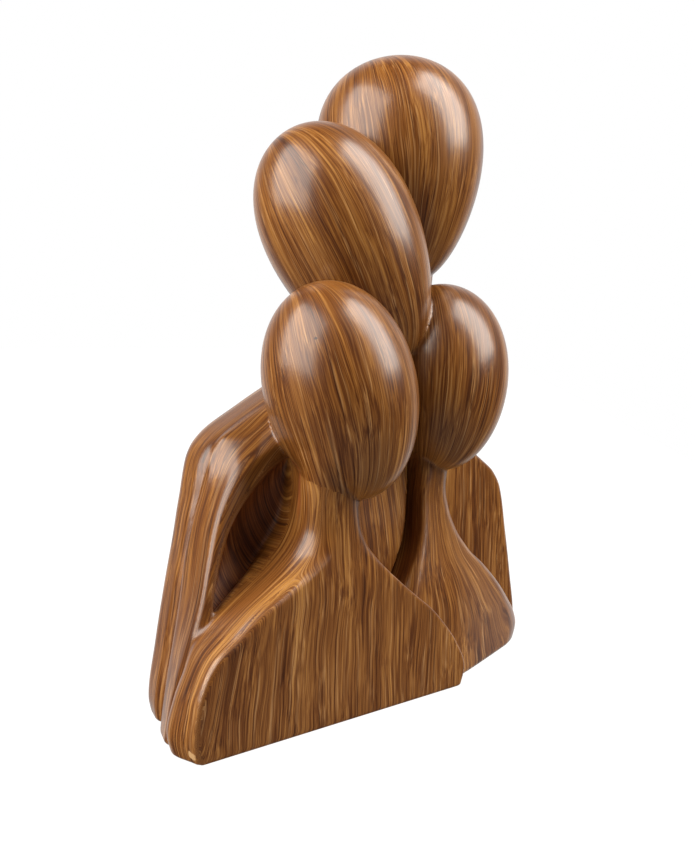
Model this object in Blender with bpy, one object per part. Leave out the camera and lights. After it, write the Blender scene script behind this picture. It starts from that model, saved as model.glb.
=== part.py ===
"""Family group sculpture: four faceless figures carved as one piece.

A father's broad bust stands at the back, the mother's bust in front of his
left half, and two children's busts in front of them.  All four stand on one
flat base.  X runs to the viewer's right, Y to the back, Z up; the origin is
at the middle of the footprint, on the base plane.
"""
import math

import bmesh
import bpy
import numpy as np
from mathutils import Matrix

for old in list(bpy.data.objects):
    bpy.data.objects.remove(old, do_unlink=True)

# Driving size. The pose, outlines and carving are shares of it: one unit is
# the share below of the height from the base to the top of the father's head.
group_height = 0.280
units_in_height = 27.75
unit = group_height / units_in_height

# Heads: eggs, fatter at the crown by the share named crown. The length and
# width are whole axes in units, the chin leans forward by nod and the crown
# leans right by tilt, both in degrees.
child_a_head_x, child_a_head_y, child_a_head_z = -3.09, -1.90, 13.14
child_a_head_length, child_a_head_width, child_a_head_crown = 9.00, 6.22, 0.049
child_a_head_nod, child_a_head_tilt = 12, -7.5
mother_head_x, mother_head_y, mother_head_z = -0.16, 0.90, 19.02
mother_head_length, mother_head_width, mother_head_crown = 11.05, 6.58, 0.177
mother_head_nod, mother_head_tilt = 16, -20.7
father_head_x, father_head_y, father_head_z = 4.74, 2.60, 22.55
father_head_length, father_head_width, father_head_crown = 10.44, 7.42, 0.283
father_head_nod, father_head_tilt = 12, 2.7
child_b_head_x, child_b_head_y, child_b_head_z = 4.17, -0.60, 13.25
child_b_head_length, child_b_head_width, child_b_head_crown = 8.42, 5.88, 0.085
child_b_head_nod, child_b_head_tilt = 12, 11.4

# The hollow behind the first child's left shoulder, and the groove between
# the mother's side and the second child: widths across, and depths.
hollow_width, hollow_depth = 2.60, 1.50
groove_width, groove_depth = 0.60, 1.00

# Fineness of the facets.
head_segments, head_rings = 28, 18
corner_steps, long_side_steps, short_side_steps = 4, 5, 1
bust_levels = 20
cutter_segments, cutter_rings = 16, 12
height_samples = 400       # levels that the rings of a bust are picked from
height_weight = 1.6        # how much a rise counts beside a sideways run in that
sharp_angle = 35           # edges sharper than this, in degrees, stay sharp

below_base = -0.6          # the busts start under the base plane and are trimmed flat
floor_cutter_side, floor_cutter_depth = 200.0, 100.0
wood_brown, wood_roughness, wood_metallic = (0.23, 0.105, 0.042, 1.0), 0.36, 0.0

# A bust is a stack of level sections, each a rectangle whose four corners are
# rounded. Columns: height, left edge at the front and at the back, right edge
# at the front and at the back, front, back, and the radii of the front left,
# front right, back right and back left corners.
child_a_sections = (
    (0.0, -11.35, -11.60, 2.62, 2.62, -3.50, -1.05, 0.28, 0.35, 0.6, 1.2),
    (0.8, -11.54, -11.80, 2.85, 2.85, -3.50, -1.05, 0.28, 0.30, 0.6, 1.2),
    (2.1, -11.38, -11.33, 2.22, 2.25, -3.50, -1.05, 0.28, 0.22, 0.6, 1.1),
    (3.0, -11.06, -10.80, 1.48, 1.60, -3.50, -1.05, 0.30, 0.20, 0.6, 1.0),
    (3.7, -10.56, -10.40, 0.80, 0.90, -3.50, -1.00, 0.32, 0.20, 0.6, 0.9),
    (4.4, -9.55, -9.75, -0.10, 0.00, -3.50, -0.90, 0.45, 0.20, 0.6, 0.7),
    (5.2, -8.45, -8.60, -1.10, -1.00, -3.50, -0.75, 0.60, 0.22, 0.6, 0.6),
    (5.8, -7.40, -7.60, -1.76, -1.70, -3.48, -0.60, 0.85, 0.30, 0.6, 0.5),
    (6.4, -6.45, -6.65, -2.28, -2.10, -3.42, -0.40, 1.10, 0.50, 0.7, 0.4),
    (7.0, -5.85, -5.85, -2.58, -2.30, -3.35, -0.20, 1.30, 0.85, 0.8, 0.4),
    (7.7, -5.50, -5.20, -2.66, -2.30, -3.25, 0.00, 1.30, 1.10, 0.8, 0.4),
    (8.6, -5.30, -4.75, -2.58, -2.10, -3.15, 0.20, 1.25, 1.20, 1.0, 0.5),
    (9.6, -5.15, -4.55, -2.35, -1.80, -3.10, 0.40, 1.25, 1.20, 1.0, 0.6),
    (12.0, -5.00, -4.60, -1.95, -1.60, -3.20, 0.40, 1.40, 1.40, 1.2, 0.9),
)
mother_sections = (
    (0.0, -11.45, -10.10, 6.00, 6.00, -1.45, 1.25, 1.0, 0.8, 0.6, 0.9),
    (1.2, -11.15, -9.95, 6.00, 6.00, -1.45, 1.25, 1.0, 0.8, 0.6, 0.9),
    (3.5, -10.40, -9.50, 4.00, 4.00, -1.45, 1.25, 1.0, 0.8, 0.6, 0.8),
    (5.0, -9.80, -9.15, 0.70, 1.40, -1.40, 1.25, 0.8, 0.3, 0.2, 0.6),
    (6.7, -9.20, -8.80, 1.35, 1.80, -1.20, 1.25, 0.8, 0.2, 0.2, 0.4),
    (8.1, -8.65, -8.35, 1.75, 2.10, -0.95, 1.25, 0.8, 0.2, 0.2, 0.3),
    (9.1, -8.10, -7.95, 2.05, 2.40, -0.80, 1.25, 0.8, 0.2, 0.2, 0.3),
    (9.7, -7.60, -7.75, 2.20, 2.50, -0.70, 1.25, 0.8, 0.3, 0.2, 0.3),
    (10.4, -6.90, -7.50, 2.35, 2.50, -0.60, 1.30, 0.8, 0.6, 0.2, 0.3),
    (11.2, -5.60, -7.10, 2.40, 2.40, -0.50, 1.35, 0.9, 0.9, 0.2, 0.4),
    (11.7, -4.70, -6.30, 2.40, 2.40, -0.40, 1.40, 0.9, 0.9, 0.2, 0.6),
    (12.4, -3.50, -4.80, 2.20, 2.20, -0.20, 1.50, 0.9, 0.9, 0.7, 0.7),
    (13.1, -1.70, -2.80, 2.10, 2.10, -0.10, 1.80, 0.9, 0.9, 0.9, 0.9),
    (14.0, -0.70, -0.90, 2.00, 2.00, -0.20, 2.10, 1.1, 1.1, 1.1, 1.1),
    (15.8, -0.30, -0.30, 2.20, 2.20, -0.40, 1.80, 1.1, 1.1, 1.1, 1.1),
)
father_sections = (
    (0.0, -10.20, -9.05, 11.20, 11.70, 0.90, 3.50, 1.0, 0.5, 0.9, 0.9),
    (0.7, -10.15, -9.25, 11.30, 11.80, 0.90, 3.50, 1.0, 0.5, 0.9, 0.9),
    (2.9, -9.62, -8.92, 11.00, 11.45, 0.90, 3.50, 1.0, 0.5, 0.9, 0.9),
    (5.2, -9.10, -8.45, 10.60, 11.05, 0.90, 3.50, 1.0, 0.5, 0.9, 0.9),
    (7.4, -8.55, -7.95, 10.15, 10.50, 0.90, 3.50, 1.0, 0.5, 0.9, 0.9),
    (8.2, -8.35, -7.80, 9.65, 9.95, 0.90, 3.50, 1.0, 0.5, 0.9, 0.9),
    (8.9, -8.15, -7.65, 8.80, 9.10, 0.90, 3.50, 1.0, 0.6, 0.9, 0.9),
    (9.7, -7.95, -7.50, 7.85, 8.00, 0.90, 3.50, 1.0, 0.9, 0.9, 0.9),
    (10.3, -7.75, -7.35, 7.35, 7.40, 0.90, 3.50, 1.0, 0.9, 0.9, 0.9),
    (10.8, -7.40, -7.10, 7.02, 7.02, 0.90, 3.50, 1.0, 0.9, 0.9, 0.9),
    (11.3, -6.75, -6.60, 6.75, 6.75, 0.90, 3.50, 1.0, 0.9, 0.9, 0.9),
    (12.3, -4.90, -4.80, 6.40, 6.40, 0.90, 3.50, 1.1, 0.9, 0.9, 1.0),
    (13.1, -3.15, -3.15, 6.20, 6.20, 0.90, 3.50, 1.1, 1.0, 1.0, 1.0),
    (14.0, -1.10, -1.10, 6.05, 6.05, 1.00, 3.60, 1.1, 1.1, 1.1, 1.1),
    (14.8, 1.00, 0.90, 5.98, 5.98, 1.10, 3.70, 1.2, 1.2, 1.2, 1.2),
    (15.8, 2.60, 2.60, 5.95, 5.95, 1.20, 3.90, 1.3, 1.3, 1.3, 1.3),
    (18.8, 2.90, 2.90, 6.20, 6.20, 1.10, 4.00, 1.4, 1.4, 1.4, 1.4),
)
child_b_sections = (
    (0.0, -1.50, -1.50, 10.20, 10.40, -2.90, 1.25, 0.5, 1.9, 1.2, 0.6),
    (0.6, -1.50, -1.50, 10.45, 10.60, -2.90, 1.25, 0.5, 1.7, 1.2, 0.6),
    (1.4, -1.30, -1.30, 9.98, 10.15, -2.90, 1.25, 0.5, 1.3, 1.2, 0.6),
    (2.3, -0.90, -0.90, 9.00, 9.20, -2.90, 1.25, 0.5, 0.9, 1.1, 0.6),
    (3.2, -0.50, -0.50, 7.95, 8.20, -2.85, 1.25, 0.5, 0.6, 1.0, 0.6),
    (4.4, 0.10, 0.20, 6.50, 6.85, -2.65, 1.25, 0.7, 0.5, 0.9, 0.4),
    (5.4, 0.75, 0.85, 5.25, 5.50, -2.40, 1.25, 0.9, 0.6, 0.8, 0.4),
    (6.4, 1.30, 1.30, 4.60, 4.80, -2.15, 1.25, 1.0, 0.9, 0.8, 0.4),
    (7.3, 1.62, 1.62, 4.38, 4.45, -1.95, 1.25, 1.1, 1.1, 1.0, 0.4),
    (8.2, 1.80, 1.80, 4.36, 4.36, -1.80, 1.25, 1.1, 1.2, 1.2, 0.4),
    (9.2, 2.00, 2.00, 4.60, 4.60, -1.75, 1.25, 1.2, 1.2, 1.2, 0.4),
    (12.0, 2.50, 2.50, 5.40, 5.40, -1.60, 1.25, 1.3, 1.3, 1.3, 0.4),
)

# The second child's front runs back towards its right shoulder: the slope of
# that run, and where it begins.
turn_slope, turn_start = 0.36, 2.8

# Paths of the two cutters, as points (x, y, z).
hollow_path = ((-4.75, -0.9, 10.7), (-6.35, -0.9, 8.5), (-7.55, -0.9, 6.85), (-9.35, -0.9, 4.45))
groove_path = ((2.05, -1.0, 9.9), (1.75, -1.0, 8.0), (1.3, -1.1, 6.4), (0.6, -1.2, 5.2), (0.0, -1.3, 4.4))
hollow_point, groove_point = 0.75, 0.40     # how pointed the ends are
end_gap = 0.06             # half turn left off at each end of a cutter, in radians
depth_point_share = 0.7    # the depth narrows to the ends more slowly than the width

# A corner's radius is at most this share of the section's width or depth.
largest_corner = 0.499

# The footprint's middle, measured from the point the shares start at.
middle_x, middle_y = -0.05, 0.85


def flow(at, keys, values):
    """Cubic through the given values that never overshoots them."""
    keys = np.asarray(keys, float)
    values = np.asarray(values, float)
    step = np.diff(keys)
    rise = np.diff(values) / step
    slope = np.empty_like(values)
    slope[0], slope[-1] = rise[0], rise[-1]
    near, far = 2 * step[1:] + step[:-1], step[1:] + 2 * step[:-1]
    same_way = rise[:-1] * rise[1:] > 0
    safe_a = np.where(same_way, rise[:-1], 1.0)
    safe_b = np.where(same_way, rise[1:], 1.0)
    slope[1:-1] = np.where(same_way, (near + far) / (near / safe_a + far / safe_b), 0.0)
    i = np.clip(np.searchsorted(keys, at, side="right") - 1, 0, len(step) - 1)
    t = (at - keys[i]) / step[i]
    return ((1 + 2 * t) * (1 - t) ** 2 * values[i] + t * (1 - t) ** 2 * step[i] * slope[i]
            + t * t * (3 - 2 * t) * values[i + 1] + t * t * (t - 1) * step[i] * slope[i + 1])


def outline(left_front, left_back, right_front, right_back, front, back, radii):
    """One level section as a closed ring of points, anticlockwise from above."""
    width = (right_front + right_back - left_front - left_back) / 2
    depth = back - front
    limit = largest_corner * min(width, depth)
    quarter = math.pi / 2
    corners = []
    for index, (side, end) in enumerate(((-1, -1), (1, -1), (1, 1), (-1, 1))):
        radius = min(radii[index], limit)
        turn = np.linspace(math.pi + index * quarter, math.pi + (index + 1) * quarter, corner_steps)
        corners.append(np.stack([side * (width / 2 - radius) + radius * np.cos(turn),
                                 end * (depth / 2 - radius) + radius * np.sin(turn)], axis=1))
    ring = []
    for index in range(4):
        ring.append(corners[index])
        steps = long_side_steps if index % 2 == 0 else short_side_steps
        share = np.linspace(0, 1, steps + 2)[1:-1, None]
        ring.append(corners[index][-1] * (1 - share) + corners[(index + 1) % 4][0] * share)
    ring = np.concatenate(ring)
    across, along = ring[:, 0] / width + 0.5, ring[:, 1] / depth + 0.5
    left = left_front + (left_back - left_front) * along
    right = right_front + (right_back - right_front) * along
    return np.stack([left + (right - left) * across, front + depth * along], axis=1)


def bust_heights(sections):
    """Heights of the rings, closer together where the sides slope away."""
    fine = np.linspace(sections[0][0], sections[-1][0], height_samples)
    keys = [row[0] for row in sections]
    left = flow(fine, keys, [row[1] for row in sections])
    right = flow(fine, keys, [row[3] for row in sections])
    run = np.abs(np.diff(left)) + np.abs(np.diff(right)) + height_weight * np.diff(fine)
    travelled = np.concatenate([[0], np.cumsum(run)])
    return np.interp(np.linspace(0, travelled[-1], bust_levels), travelled, fine)


def loft(name, rings, material):
    """A closed solid through rings of equal length, capped at both ends."""
    count = len(rings[0])
    mesh = bpy.data.meshes.new(name)
    form = bmesh.new()
    rows = [[form.verts.new(point) for point in ring] for ring in rings]
    for low, high in zip(rows, rows[1:]):
        for i in range(count):
            j = (i + 1) % count
            form.faces.new((low[i], low[j], high[j], high[i]))
    form.faces.new(list(reversed(rows[0])))
    form.faces.new(rows[-1])
    bmesh.ops.recalc_face_normals(form, faces=form.faces)
    bmesh.ops.triangulate(form, faces=form.faces)
    form.to_mesh(mesh)
    form.free()
    mesh.materials.append(material)
    return bpy.data.objects.new(name, mesh)


def bust(name, sections, material, turned=False):
    keys = [row[0] for row in sections]
    columns = list(zip(*sections))[1:]
    rings = []
    for height in np.concatenate([[below_base], bust_heights(sections)]):
        at = max(height, 0.0)
        row = [float(flow(np.array([at]), keys, column)[0]) for column in columns]
        ring = outline(*row[:6], radii=row[6:])
        if turned:
            run = ring[:, 0] - turn_start
            toward_front = (row[5] - ring[:, 1]) / (row[5] - row[4])
            ring[:, 1] += toward_front * turn_slope * 0.5 * (run + np.sqrt(run * run + 1))
        rings.append([(x * unit, y * unit, height * unit) for x, y in ring])
    return loft(name, rings, material)


def head(name, centre, length, width, crown, nod, tilt, material):
    """An egg: a sphere whose girth grows towards the crown, then leaned over."""
    bpy.ops.mesh.primitive_uv_sphere_add(segments=head_segments, ring_count=head_rings, radius=1.0)
    egg = bpy.context.object
    egg.name = name
    egg.data.name = name
    lean = Matrix.Rotation(math.radians(tilt), 4, "Y") @ Matrix.Rotation(-math.radians(nod), 4, "X")
    place = Matrix.Translation([value * unit for value in centre]) @ lean
    for vertex in egg.data.vertices:
        girth = width / 2 * (1 + crown * vertex.co.z)
        vertex.co = (vertex.co.x * girth * unit, vertex.co.y * girth * unit,
                     vertex.co.z * length / 2 * unit)
    egg.data.transform(place)
    egg.data.materials.append(material)
    bpy.context.collection.objects.unlink(egg)
    return egg


def spindle(name, path, width, depth, point, material):
    """A cutter pointed at both ends: elliptic rings along a curved path."""
    path = np.asarray(path, float)
    knots = np.linspace(0, 1, len(path))
    share = 0.5 - 0.5 * np.cos(np.linspace(end_gap, math.pi - end_gap, cutter_rings))
    spine = np.stack([flow(share, knots, path[:, axis]) for axis in range(3)], axis=1)
    along = np.gradient(spine, axis=0)
    across = np.cross(along, (0, 1, 0))
    across /= np.linalg.norm(across, axis=1, keepdims=True)
    taper = 1 - (2 * share - 1) ** 2
    turn = np.linspace(0, 2 * math.pi, cutter_segments, endpoint=False)
    rings = []
    for middle, side, narrow in zip(spine, across, taper):
        half_width = width / 2 * narrow ** point
        half_depth = depth * narrow ** (depth_point_share * point)
        ring = [middle + side * half_width * math.cos(a) + np.array((0, half_depth * math.sin(a), 0))
                for a in turn]
        rings.append([tuple(value * unit for value in point_on) for point_on in ring])
    return loft(name, rings, material)


def wood():
    material = bpy.data.materials.new("walnut_lacquer")
    material.use_nodes = True
    shader = material.node_tree.nodes["Principled BSDF"]
    shader.inputs["Base Color"].default_value = wood_brown
    shader.inputs["Roughness"].default_value = wood_roughness
    shader.inputs["Metallic"].default_value = wood_metallic
    return material


def join(target, operand, operation):
    step = target.modifiers.new(operand.name, "BOOLEAN")
    step.operation = operation
    step.solver = "EXACT"
    step.object = operand


finish = wood()
group = bust("family_group", mother_sections, finish)
father = bust("father_bust", father_sections, finish)
child_a = bust("child_a_bust", child_a_sections, finish)
child_b = bust("child_b_bust", child_b_sections, finish, turned=True)
hollow = spindle("hollow_cutter", hollow_path, hollow_width, hollow_depth, hollow_point, finish)
groove = spindle("groove_cutter", groove_path, groove_width, groove_depth, groove_point, finish)
heads = (
    head("child_a_head", (child_a_head_x, child_a_head_y, child_a_head_z), child_a_head_length,
         child_a_head_width, child_a_head_crown, child_a_head_nod, child_a_head_tilt, finish),
    head("mother_head", (mother_head_x, mother_head_y, mother_head_z), mother_head_length,
         mother_head_width, mother_head_crown, mother_head_nod, mother_head_tilt, finish),
    head("father_head", (father_head_x, father_head_y, father_head_z), father_head_length,
         father_head_width, father_head_crown, father_head_nod, father_head_tilt, finish),
    head("child_b_head", (child_b_head_x, child_b_head_y, child_b_head_z), child_b_head_length,
         child_b_head_width, child_b_head_crown, child_b_head_nod, child_b_head_tilt, finish),
)
bpy.ops.mesh.primitive_cube_add(size=1.0)
floor_cutter = bpy.context.object
floor_cutter.name = "floor_cutter"
side, depth = floor_cutter_side * unit, floor_cutter_depth * unit
floor_cutter.data.transform(Matrix.Translation((0, 0, -depth / 2)) @ Matrix.Diagonal((side, side, depth, 1)))
bpy.context.collection.objects.unlink(floor_cutter)

# The whole is made from the mother outwards: her hollow, the father, the
# second child and the groove beside it, the first child, the heads, the base.
join(group, hollow, "DIFFERENCE")
join(group, father, "UNION")
join(group, child_b, "UNION")
join(group, groove, "DIFFERENCE")
join(group, child_a, "UNION")
for egg in heads:
    join(group, egg, "UNION")
join(group, floor_cutter, "DIFFERENCE")

sculpture = bpy.data.collections.new("family_group")
tools = bpy.data.collections.new("joined_and_cut")
bpy.context.scene.collection.children.link(sculpture)
bpy.context.scene.collection.children.link(tools)
sculpture.objects.link(group)
for operand in (father, child_a, child_b, hollow, groove, floor_cutter, *heads):
    operand.hide_render = True
    operand.display_type = "WIRE"
    tools.objects.link(operand)

centre_of_footprint = Matrix.Translation((-middle_x * unit, -middle_y * unit, 0))
for part in (group, father, child_a, child_b, hollow, groove, floor_cutter, *heads):
    part.data.transform(centre_of_footprint)
    part.data.shade_smooth()
group.data.set_sharp_from_angle(angle=math.radians(sharp_angle))
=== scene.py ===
import math

import bpy
import numpy as np
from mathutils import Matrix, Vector


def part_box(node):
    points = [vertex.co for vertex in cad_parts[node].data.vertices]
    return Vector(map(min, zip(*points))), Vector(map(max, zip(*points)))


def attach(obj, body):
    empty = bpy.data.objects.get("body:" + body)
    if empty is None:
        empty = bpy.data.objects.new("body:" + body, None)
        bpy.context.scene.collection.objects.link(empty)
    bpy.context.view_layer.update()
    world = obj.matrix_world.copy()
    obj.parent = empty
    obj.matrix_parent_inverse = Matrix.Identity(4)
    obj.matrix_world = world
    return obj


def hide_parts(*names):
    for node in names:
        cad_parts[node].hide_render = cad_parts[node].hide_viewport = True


# Looks for the family group: four faceless figures carved in one piece and
# finished in satin walnut. One field gives the whole surface, so that the
# creases between the figures are eased as sanding eases them.
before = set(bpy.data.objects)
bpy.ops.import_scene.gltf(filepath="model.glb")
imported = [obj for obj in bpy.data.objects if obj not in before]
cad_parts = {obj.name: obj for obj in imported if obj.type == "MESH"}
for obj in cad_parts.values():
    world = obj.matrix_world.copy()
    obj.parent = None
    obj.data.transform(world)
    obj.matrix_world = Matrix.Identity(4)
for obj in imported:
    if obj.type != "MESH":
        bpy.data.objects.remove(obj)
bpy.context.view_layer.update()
print("frame loaded")

# Everything is worked out in shares of the height, as the solids are, with X to
# the viewer's right, Y to the back and Z up. One unit is about a centimetre.
group = {
    "unitsInHeight": 27.75,
    "middle": (-0.05, 0.85, 0.0),    # of the underside
    "step": 0.1,   # distance between the points of the grid
    "margin": 0.5,                   # how far the grid goes past the solid's box
    "evenings": 3,                   # rounds of evening out the surface
    "triangles": 190000,             # at most, in the finished surface
    "baseEase": 0.10,                # how far the lower edge is rounded
    "meetingEase": 0.16,             # how far a crease between two figures is filled
    "headEase": 0.12,                # and one beside a head
}
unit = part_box("family_group")[1].z / group["unitsInHeight"]
offset = np.array(group["middle"])

# A bust is a stack of level sections with four rounded corners. Columns: height,
# left edge at the front and back, right edge at the front and back, front, back,
# and the radii of the front left, front right, back right and back left corners.
busts = {
    "childA": {"turn": 0.0, "sections": (
        (0.0, -11.35, -11.60, 2.62, 2.62, -3.50, -1.05, 0.28, 0.35, 0.6, 1.2),
        (0.8, -11.54, -11.80, 2.85, 2.85, -3.50, -1.05, 0.28, 0.30, 0.6, 1.2),
        (2.1, -11.38, -11.33, 2.22, 2.25, -3.50, -1.05, 0.28, 0.22, 0.6, 1.1),
        (3.0, -11.06, -10.80, 1.48, 1.60, -3.50, -1.05, 0.30, 0.20, 0.6, 1.0),
        (3.7, -10.56, -10.40, 0.80, 0.90, -3.50, -1.00, 0.32, 0.20, 0.6, 0.9),
        (4.4, -9.55, -9.75, -0.10, 0.00, -3.50, -0.90, 0.45, 0.20, 0.6, 0.7),
        (5.2, -8.45, -8.60, -1.10, -1.00, -3.50, -0.75, 0.60, 0.22, 0.6, 0.6),
        (5.8, -7.40, -7.60, -1.76, -1.70, -3.48, -0.60, 0.85, 0.30, 0.6, 0.5),
        (6.4, -6.45, -6.65, -2.28, -2.10, -3.42, -0.40, 1.10, 0.50, 0.7, 0.4),
        (7.0, -5.85, -5.85, -2.58, -2.30, -3.35, -0.20, 1.30, 0.85, 0.8, 0.4),
        (7.7, -5.50, -5.20, -2.66, -2.30, -3.25, 0.00, 1.30, 1.10, 0.8, 0.4),
        (8.6, -5.30, -4.75, -2.58, -2.10, -3.15, 0.20, 1.25, 1.20, 1.0, 0.5),
        (9.6, -5.15, -4.55, -2.35, -1.80, -3.10, 0.40, 1.25, 1.20, 1.0, 0.6),
        (12.0, -5.00, -4.60, -1.95, -1.60, -3.20, 0.40, 1.40, 1.40, 1.2, 0.9),
    )},
    "mother": {"turn": 0.0, "sections": (
        (0.0, -11.45, -10.10, 6.00, 6.00, -1.45, 1.25, 1.0, 0.8, 0.6, 0.9),
        (1.2, -11.15, -9.95, 6.00, 6.00, -1.45, 1.25, 1.0, 0.8, 0.6, 0.9),
        (3.5, -10.40, -9.50, 4.00, 4.00, -1.45, 1.25, 0.6, 0.8, 0.6, 0.8),
        (5.0, -9.80, -9.15, 0.70, 1.40, -1.40, 1.25, 0.4, 0.3, 0.2, 0.6),
        (6.7, -9.20, -8.80, 1.35, 1.80, -1.20, 1.25, 0.35, 0.2, 0.2, 0.4),
        (8.1, -8.65, -8.35, 1.75, 2.10, -0.95, 1.25, 0.35, 0.2, 0.2, 0.3),
        (9.1, -8.10, -7.95, 2.05, 2.40, -0.80, 1.25, 0.40, 0.2, 0.2, 0.3),
        (9.7, -7.60, -7.75, 2.20, 2.50, -0.70, 1.25, 0.45, 0.3, 0.2, 0.3),
        (10.4, -6.90, -7.50, 2.35, 2.50, -0.60, 1.30, 0.6, 0.6, 0.2, 0.3),
        (11.2, -5.60, -7.10, 2.40, 2.40, -0.50, 1.35, 0.9, 0.9, 0.2, 0.4),
        (11.7, -4.70, -6.30, 2.40, 2.40, -0.40, 1.40, 0.9, 0.9, 0.2, 0.6),
        (12.4, -3.50, -4.80, 2.20, 2.20, -0.20, 1.50, 0.9, 0.9, 0.7, 0.7),
        (13.1, -1.70, -2.80, 2.10, 2.10, -0.10, 1.80, 0.9, 0.9, 0.9, 0.9),
        (14.0, -0.70, -0.90, 2.00, 2.00, -0.20, 2.10, 1.1, 1.1, 1.1, 1.1),
        (15.8, -0.30, -0.30, 2.20, 2.20, -0.40, 1.80, 1.1, 1.1, 1.1, 1.1),
    )},
    "father": {"turn": 0.0, "sections": (
        (0.0, -10.20, -9.05, 11.20, 11.70, 0.90, 3.50, 1.0, 0.5, 0.9, 0.9),
        (0.7, -10.15, -9.25, 11.30, 11.80, 0.90, 3.50, 1.0, 0.5, 0.9, 0.9),
        (2.9, -9.62, -8.92, 11.00, 11.45, 0.90, 3.50, 1.0, 0.5, 0.9, 0.9),
        (5.2, -9.10, -8.45, 10.60, 11.05, 0.90, 3.50, 1.0, 0.5, 0.9, 0.9),
        (7.4, -8.55, -7.95, 10.15, 10.50, 0.90, 3.50, 1.0, 0.5, 0.9, 0.9),
        (8.2, -8.35, -7.80, 9.65, 9.95, 0.90, 3.50, 1.0, 0.5, 0.9, 0.9),
        (8.9, -8.15, -7.65, 8.80, 9.10, 0.90, 3.50, 1.0, 0.6, 0.9, 0.9),
        (9.7, -7.95, -7.50, 7.85, 8.00, 0.90, 3.50, 1.0, 0.9, 0.9, 0.9),
        (10.3, -7.75, -7.35, 7.35, 7.40, 0.90, 3.50, 1.0, 0.9, 0.9, 0.9),
        (10.8, -7.40, -7.10, 7.02, 7.02, 0.90, 3.50, 1.0, 0.9, 0.9, 0.9),
        (11.3, -6.75, -6.60, 6.75, 6.75, 0.90, 3.50, 1.0, 0.9, 0.9, 0.9),
        (12.3, -4.90, -4.80, 6.40, 6.40, 0.90, 3.50, 1.1, 0.9, 0.9, 1.0),
        (13.1, -3.15, -3.15, 6.20, 6.20, 0.90, 3.50, 1.1, 1.0, 1.0, 1.0),
        (14.0, -1.10, -1.10, 6.05, 6.05, 1.00, 3.60, 1.1, 1.1, 1.1, 1.1),
        (14.8, 1.00, 0.90, 5.98, 5.98, 1.10, 3.70, 1.2, 1.2, 1.2, 1.2),
        (15.8, 2.60, 2.60, 5.95, 5.95, 1.20, 3.90, 1.3, 1.3, 1.3, 1.3),
        (18.8, 2.90, 2.90, 6.20, 6.20, 1.10, 4.00, 1.4, 1.4, 1.4, 1.4),
    )},
    "childB": {"turn": 0.36, "turnStart": 2.8, "sections": (
        (0.0, -1.50, -1.50, 10.20, 10.40, -2.90, 1.25, 0.5, 1.9, 1.2, 0.6),
        (0.6, -1.50, -1.50, 10.45, 10.60, -2.90, 1.25, 0.5, 1.7, 1.2, 0.6),
        (1.4, -1.30, -1.30, 9.98, 10.15, -2.90, 1.25, 0.5, 1.3, 1.2, 0.6),
        (2.3, -0.90, -0.90, 9.00, 9.20, -2.90, 1.25, 0.5, 0.9, 1.1, 0.6),
        (3.2, -0.50, -0.50, 7.95, 8.20, -2.85, 1.25, 0.5, 0.6, 1.0, 0.6),
        (4.4, 0.10, 0.20, 6.50, 6.85, -2.65, 1.25, 0.7, 0.5, 0.9, 0.4),
        (5.4, 0.60, 0.70, 5.25, 5.50, -2.40, 1.25, 0.7, 0.6, 0.8, 0.4),
        (6.4, 1.10, 1.10, 4.60, 4.80, -2.15, 1.25, 0.7, 0.9, 0.8, 0.4),
        (7.3, 1.40, 1.40, 4.38, 4.45, -1.95, 1.25, 0.7, 1.1, 1.0, 0.4),
        (8.2, 1.60, 1.60, 4.36, 4.36, -1.80, 1.25, 0.7, 1.2, 1.2, 0.4),
        (9.2, 1.85, 1.85, 4.60, 4.60, -1.75, 1.25, 0.9, 1.2, 1.2, 0.4),
        (12.0, 2.50, 2.50, 5.40, 5.40, -1.60, 1.25, 1.3, 1.3, 1.3, 0.4),
    )},
}

# Heads: eggs, fatter at the crown; the chin leans forward by nod, the crown
# leans right by tilt, both in degrees.
heads = {
    "childAHead": {"centre": (-3.09, -1.90, 13.14), "length": 9.00, "width": 6.22,
                   "crown": 0.049, "nod": 12, "tilt": -7.5},
    "motherHead": {"centre": (-0.16, 0.90, 19.02), "length": 11.05, "width": 6.58,
                   "crown": 0.177, "nod": 16, "tilt": -20.7},
    "fatherHead": {"centre": (4.74, 2.60, 22.55), "length": 10.44, "width": 7.42,
                   "crown": 0.283, "nod": 12, "tilt": 2.7},
    "childBHead": {"centre": (4.17, -0.60, 13.25), "length": 8.42, "width": 5.88,
                   "crown": 0.085, "nod": 12, "tilt": 11.4},
}

# The hollow behind the first child's left shoulder, and the groove beside the
# second child: points of the path, width across, depth, how pointed the ends
# are, and how far the rim is rounded over.
cuts = {
    "hollow": {"path": ((-4.40, -0.9, 10.6), (-5.90, -0.9, 8.5), (-7.30, -0.9, 6.85),
                        (-9.20, -0.9, 4.45)),
               "width": 2.35, "depth": 1.15, "point": 0.75, "rimEase": 0.35},
    "groove": {"path": ((2.05, -1.0, 9.9), (1.75, -1.0, 8.0), (1.3, -1.1, 6.4), (0.6, -1.2, 5.2),
                        (0.0, -1.3, 4.4)),
               "width": 0.34, "depth": 1.00, "point": 0.40, "rimEase": 0.12},
}
spindle = {
    "pieces": 60,            # straight pieces that a path is measured along
    "depthPoint": 0.7,       # how pointed the ends are in depth, as a share of point
    "thinnest": 0.002,       # least of 1 - s^2, so that the ends keep a width
    "smallest": 0.05,        # least size and slope, so that nothing is divided by 0
}

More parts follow.
